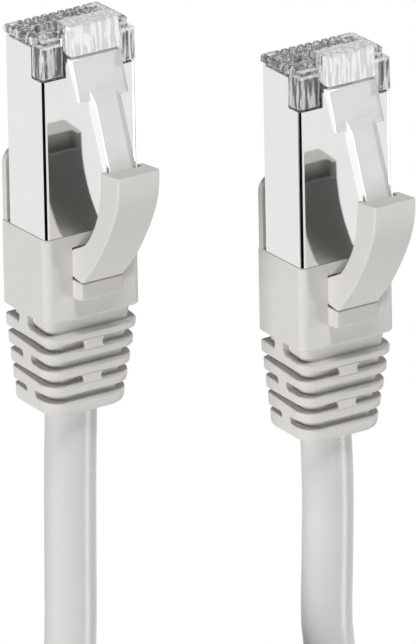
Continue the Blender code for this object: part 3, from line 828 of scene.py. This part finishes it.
def strapRing(shape, outer, inner):
    # one cross-section of the strap, between its outer and inner points
    base = Vector((0, -inner[0], inner[1]))
    across = Vector((0, -outer[0], outer[1])) - base
    edge = shape["edge"]
    points = []
    for angle, sideX, sideZ in aroundCorners(shape["edgeSteps"]):
        x = sideX * (shape["half"] - edge) + edge * math.cos(angle)
        rise = (across.length - edge if sideZ > 0 else edge) + edge * math.sin(angle)
        points.append(base + across.normalized() * rise + Vector((x, 0, 0)))
    return points


def makeLever(shape):
    outer = smoothThrough(shape["outer"], shape["curveSteps"])
    inner = smoothThrough(shape["inner"], shape["curveSteps"])
    piece = growRings("bootLever", [strapRing(shape, *pair) for pair in zip(outer, inner)])
    pocket = addBlock("pocket", *shape["pocket"])
    roundEdges(pocket, shape["pocketEdge"], shape["pocketSteps"],
               lambda near, far: abs(near.y - far.y) > longEdge)
    combine(piece, pocket, "DIFFERENCE")
    smoothMesh(piece)
    copyToEnds(piece, "grey_boot", "boot_lever", "boot_lever")


makeLever(lever)
print("levers moulded")


# shield: a bent can round the body, its front corners cut away on the latch side
shield = {
    "width": 11.68, "bottom": 1.1, "top": 8.3, "front": 1.2, "back": 22.08, "sheet": 0.3,
    "bend": 0.55, "bendInset": 0.8, "bendSteps": 8,  # the inner bend is tighter by this share of the sheet
    "windowDepth": 4.6, "windowFloor": 6.25, "tabHalf": 2.9, "tabDepth": 2.9, "tabCorner": 0.25,
    "neck": (9.9, 4.4), "neckEnd": 24.6, "neckMiddle": 3.7, "neckBend": 0.4, "neckInnerBend": 0.2,
    "contactOpening": ((-4.55, 4.55), (0, 8.4), (0.5, 1.8)),
}


def canRing(shape, depth, inset):
    height = shape["top"] - shape["bottom"]
    middle = (shape["top"] + shape["bottom"]) / 2
    return roundedRing(shape["width"] - 2 * inset, height - 2 * inset, middle,
                       shape["bend"] - inset * shape["bendInset"], depth, shape["bendSteps"])


def makeNeck(shape, name, inset, bend, overlap, end):
    width, height = (side - 2 * inset for side in shape["neck"])
    return growRings(name, [roundedRing(width, height, shape["neckMiddle"], bend, depth)
                            for depth in (shape["back"] - overlap, end)])


def makeShield(shape):
    sheet = shape["sheet"]
    piece = growRings("shieldCan", [canRing(shape, shape["front"], 0), canRing(shape, shape["back"], 0)])
    neck = makeNeck(shape, "neck", 0, shape["neckBend"], past, shape["neckEnd"])
    combine(piece, neck, "UNION")
    hollow = growRings("hollow", [canRing(shape, 0, sheet), canRing(shape, shape["back"] - sheet, sheet)])
    combine(piece, hollow, "DIFFERENCE")
    hole = makeNeck(shape, "neckHole", sheet, shape["neckInnerBend"], 2 * past, shape["neckEnd"] + 2 * past)
    combine(piece, hole, "DIFFERENCE")

    beyond = shape["width"]
    tabArc = [(shape["tabHalf"] - along, shape["tabDepth"] + inwards)
              for along, inwards in roundTurn(shape["tabCorner"])]
    side = [(beyond, 0), (beyond, shape["windowDepth"]), (shape["tabHalf"], shape["windowDepth"])]
    windows = topOutline("windows", bothHalves(side + tabArc),
                         (shape["windowFloor"], shape["top"] + 2 * past))
    combine(piece, windows, "DIFFERENCE")
    cutBlocks(piece, [shape["contactOpening"]])
    smoothMesh(piece, crispAngle)
    copyToEnds(piece, "bright_metal", "shield_shell", "root")


makeShield(shield)
print("shields bent")


# clear body: nose, comb of contact slots, corner blocks and the latch's root
body = {
    "width": 11.68, "bottom": 1.1, "noseBack": 0.9, "noseTop": 6.65, "noseEdge": 0.3,
    "core": ((-5.2, 5.2), (0.5, 20.5), (1.7, 7.7)),
    "comb": ((-4.25, 4.25), (0.3, 8.1), (1.1, 3.0)),
    "corner": ((3.3, 5.84), (0.85, 4.3), (6.45, 8.3)), "cornerEdge": 0.35,
    "rootOutline": [(-1.4, 6.9), (-1.35, 9.47), (2.0, 9.62), (2.0, 8.7), (1.65, 7.4), (0.75, 7.4),
                    (0.75, 6.3), (0.3, 6.3)],
    "rootHalf": 3.05, "rootEdge": 0.22, "rootSteps": 3,
    "slotCount": 8, "pitch": 1.02, "slotWidth": 0.5, "slotDepth": 7.4, "slotRange": (0.5, 3.5),
    "ribTip": 0.22, "roundSteps": 4,
    "wireChannel": ((-4.1, 4.1), (1.6, 9.0), (3.85, 5.05)),
    "barChamber": ((-4.9, 4.9), (8.7, 14.0), (2.7, 6.2)),
    "rearChamber": ((-4.85, 4.85), (13.8, 21.0), (2.0, 6.6)),
    "frontRecess": ((-4.6, 4.6), (-0.5, 0.55), (4.0, 5.7)),
}


def makeCorners(shape):
    # the corner blocks are round at the front and along the outside of their tops
    (inner, _), (front, back), (_, top) = shape["corner"]

    def outside(near, far):
        return (min(near.z, far.z) > top - slack and abs(near.x) + abs(far.x) > 2 * (inner + slack)
                and near.y + far.y > -front - back - slack)

    for ranges in bothSides(*shape["corner"]):
        block = addBlock("corner", *ranges)
        roundEdges(block, shape["cornerEdge"], shape["roundSteps"], outside)
        yield block


def makeSlots(shape):
    wide = shape["slotWidth"] / 2
    for index in range(shape["slotCount"]):
        middle = (index - (shape["slotCount"] - 1) / 2) * shape["pitch"]
        yield addBlock("slot", (middle - wide, middle + wide), (-past, shape["slotDepth"]),
                       shape["slotRange"])


def makeBody(shape):
    half = shape["width"] / 2
    combHalf = shape["comb"][0][1]
    slotCeiling = shape["slotRange"][1]

    def atFront(near, far):
        return min(near.y, far.y) > -slack

    def ribFront(near, far):
        return (atFront(near, far) and abs(near.x - far.x) < slack and abs(near.z - far.z) > longEdge
                and max(near.z, far.z) < slotCeiling + slack and abs(near.x) < combHalf + slack)

    piece = addBlock("clearBody", *shape["core"])
    nose = addBlock("nose", (-half, half), (0, shape["noseBack"]), (shape["bottom"], shape["noseTop"]))
    roundEdges(nose, shape["noseEdge"], shape["roundSteps"], atFront)
    combine(piece, nose, "UNION")
    combine(piece, addBlock("comb", *shape["comb"]), "UNION")
    for block in makeCorners(shape):
        combine(piece, block, "UNION")
    root = sideOutline("root", shape["rootOutline"], shape["rootHalf"])
    soften(root, shape["rootEdge"], shape["rootSteps"])
    combine(piece, root, "UNION")
    for slot in makeSlots(shape):
        combine(piece, slot, "DIFFERENCE")
    roundEdges(piece, shape["ribTip"], shape["roundSteps"], ribFront)
    cutBlocks(piece, [shape[room] for room in ("wireChannel", "barChamber", "rearChamber", "frontRecess")])
    smoothMesh(piece, crispAngle)
    copyToEnds(piece, "clear_plastic", "plug_housing", "root")


makeBody(body)
print("clear bodies moulded")


# latch: a wide plate on its living hinge, a step, and the narrow arm to the lever
latch = {
    "plate": [(2.3, 8.65), (2.3, 9.62), (2.5, 9.7), (6.45, 11.03), (6.62, 11.04), (6.7, 10.5),
              (6.4, 10.3), (2.9, 8.8)],
    "plateHalf": 3.05,
    "arm": [(5.6, 10.3), (5.6, 10.75), (6.5, 11.74), (7.3, 12.08), (13.4, 14.3), (14.3, 14.5),
            (14.7, 14.15), (14.6, 13.4), (13.8, 12.95), (8.2, 10.7), (7.1, 10.5)],
    "armHalf": 1.65,
    "edge": 0.1,
}


def makeLatch(shape):
    piece = sideOutline("latchTab", shape["plate"], shape["plateHalf"])
    soften(piece, shape["edge"])
    arm = sideOutline("arm", shape["arm"], shape["armHalf"])
    soften(arm, shape["edge"])
    combine(piece, arm, "UNION")
    smoothMesh(piece, crispAngle)
    # the photo's shield doesn't mirror the clear latch
    copyToEnds(piece, "clear_plastic", "latch", "latch", "clear_latch", False)


makeLatch(latch)
print("latches moulded")


# the small pieces that stay as the frame has them
keptNodes = {"contact": "gold_plate", "load_bar": "milky_plastic", "crimp_ferrule": "crimp_metal",
             "cable_end": "grey_jacket"}


def dressNode(name, slotName):
    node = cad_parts[name]
    node.data.materials.clear()
    node.data.materials.append(finishes[slotName])


def dressKeptNodes():
    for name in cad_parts:
        for start, slotName in keptNodes.items():
            if name.startswith(start):
                dressNode(name, slotName)
        if name.startswith("wire_"):
            dressNode(name, f"wire_{name[-1]}")


dressKeptNodes()
print("small pieces finished")


# studio: white floor, soft lamps, and dark cards that only reflections see
studio = {
    "floorSize": 6.0, "floorDrop": 0.0002,
    "floorWhite": (0.14, 0.14, 0.14, 1),
    "shownShare": 1.0, "mirrorShare": 0.97, "mirrorFloor": 0.9,
    "daylight": 0.12,
    "mirrorSky": 0.86,
    "secondSky": 0.0,  # what mirrors show to surfaces that they light
    "lamps": {
        # name: (direction, distance in metres, size, level on a surface that faces it, seen in mirrors)
        "leftLamp": ((-0.85, -0.42, 0.28), 2.0, 0.74, 1.08, False),
        "frontLamp": ((-0.1, 0.90, 0.42), 2.0, 0.57, 0.68, False),
        "rightLamp": ((0.70, -0.37, 0.61), 2.0, 0.6, 0.25, True),
        "sideLamp": ((0.96, -0.05, 0.26), 2.0, 0.9, 0.45, False),
    },
    "darkCard": {"middle": (-0.36, -0.25, 0.40), "size": (0.5, 0.78), "facing": (-0.81, -0.59, 0),
                 "shade": 0.004},
}


def lightPath(shader, *names):
    path = shader.tree.nodes.new("ShaderNodeLightPath")
    return [Sock(shader, path.outputs[name]) for name in names]


def mirrorRays(shader):
    # rays from mirrors and through clear pieces, and those of the mirrors' that light a rough surface
    glossy, through, roughSteps = lightPath(shader, "Is Glossy Ray", "Is Transmission Ray", "Diffuse Depth")
    second = glossy * roughSteps.atMost(1)
    return (glossy + through).atMost(1) - second, second


def makeFloor(look):
    deselectAll()
    bpy.ops.mesh.primitive_plane_add(size=look["floorSize"], location=(0, 0, -look["floorDrop"]))
    floor = bpy.context.object
    floor.name = "floor"
    made = bpy.data.materials.new("floorWhite")
    made.use_nodes = True
    shader = Shader(made.node_tree)
    camera = lightPath(shader, "Is Camera Ray")[0]
    first = mirrorRays(shader)[0]
    paint = shader.node("BsdfDiffuse", None, {"Color": look["floorWhite"]})
    shown = shader.node("Emission", None, {"Color": (1, 1, 1, 1), "Strength": 1.0})
    inMirrors = shader.node("Emission", None, {"Color": (1, 1, 1, 1), "Strength": look["mirrorFloor"]})
    blend = shader.node("MixShader", None, {0: camera * look["shownShare"], 1: paint, 2: shown})
    blend = shader.node("MixShader", None, {0: first * look["mirrorShare"], 1: blend, 2: inMirrors})
    shader.feed(made.node_tree.nodes["Material Output"].inputs["Surface"], blend)
    floor.data.materials.append(made)


def makeWorld(look):
    world = bpy.data.worlds.new("softSky")
    world.use_nodes = True
    scene.world = world
    shader = Shader(world.node_tree)
    camera = lightPath(shader, "Is Camera Ray")[0]
    first, second = mirrorRays(shader)
    level = camera * (1 - look["daylight"]) + first * (look["mirrorSky"] - look["daylight"])
    level = level + second * (look["secondSky"] - look["daylight"]) + look["daylight"]
    sky = world.node_tree.nodes["Background"]
    sky.inputs["Color"].default_value = (1, 1, 1, 1)
    shader.feed(sky.inputs["Strength"], level)


def makeLamp(name, direction, distance, size, level, inMirrors):
    # a flat white surface that faces the lamp gains this level
    light = bpy.data.lights.new(name, "AREA")
    light.size = size
    light.energy = level * math.pi ** 2 * distance ** 2
    lamp = bpy.data.objects.new(name, light)
    scene.collection.objects.link(lamp)
    place = Vector(direction).normalized()
    lamp.location = place * distance
    lamp.rotation_euler = place.to_track_quat("Z", "Y").to_euler()
    lamp.visible_glossy = inMirrors


def makeCard(look):
    width, height = look["size"]
    deselectAll()
    bpy.ops.mesh.primitive_plane_add(size=1, location=look["middle"])
    card = bpy.context.object
    card.name = "darkCard"
    card.scale = (width, height, 1)
    card.rotation_euler = Vector(look["facing"]).to_track_quat("Z", "Y").to_euler()
    made = bpy.data.materials.new("cardBlack")
    made.use_nodes = True
    surface = made.node_tree.nodes["Principled BSDF"]
    surface.inputs["Base Color"].default_value = (*[look["shade"]] * 3, 1)
    surface.inputs["Roughness"].default_value = 1.0
    surface.inputs["Specular IOR Level"].default_value = 0.0
    card.data.materials.append(made)
    card.visible_camera = False
    card.visible_diffuse = False
    card.visible_shadow = False


def makeStudio(look):
    makeFloor(look)
    makeWorld(look)
    for name, settings in look["lamps"].items():
        makeLamp(name, *settings)
    makeCard(look["darkCard"])


makeStudio(studio)
print("studio lit")
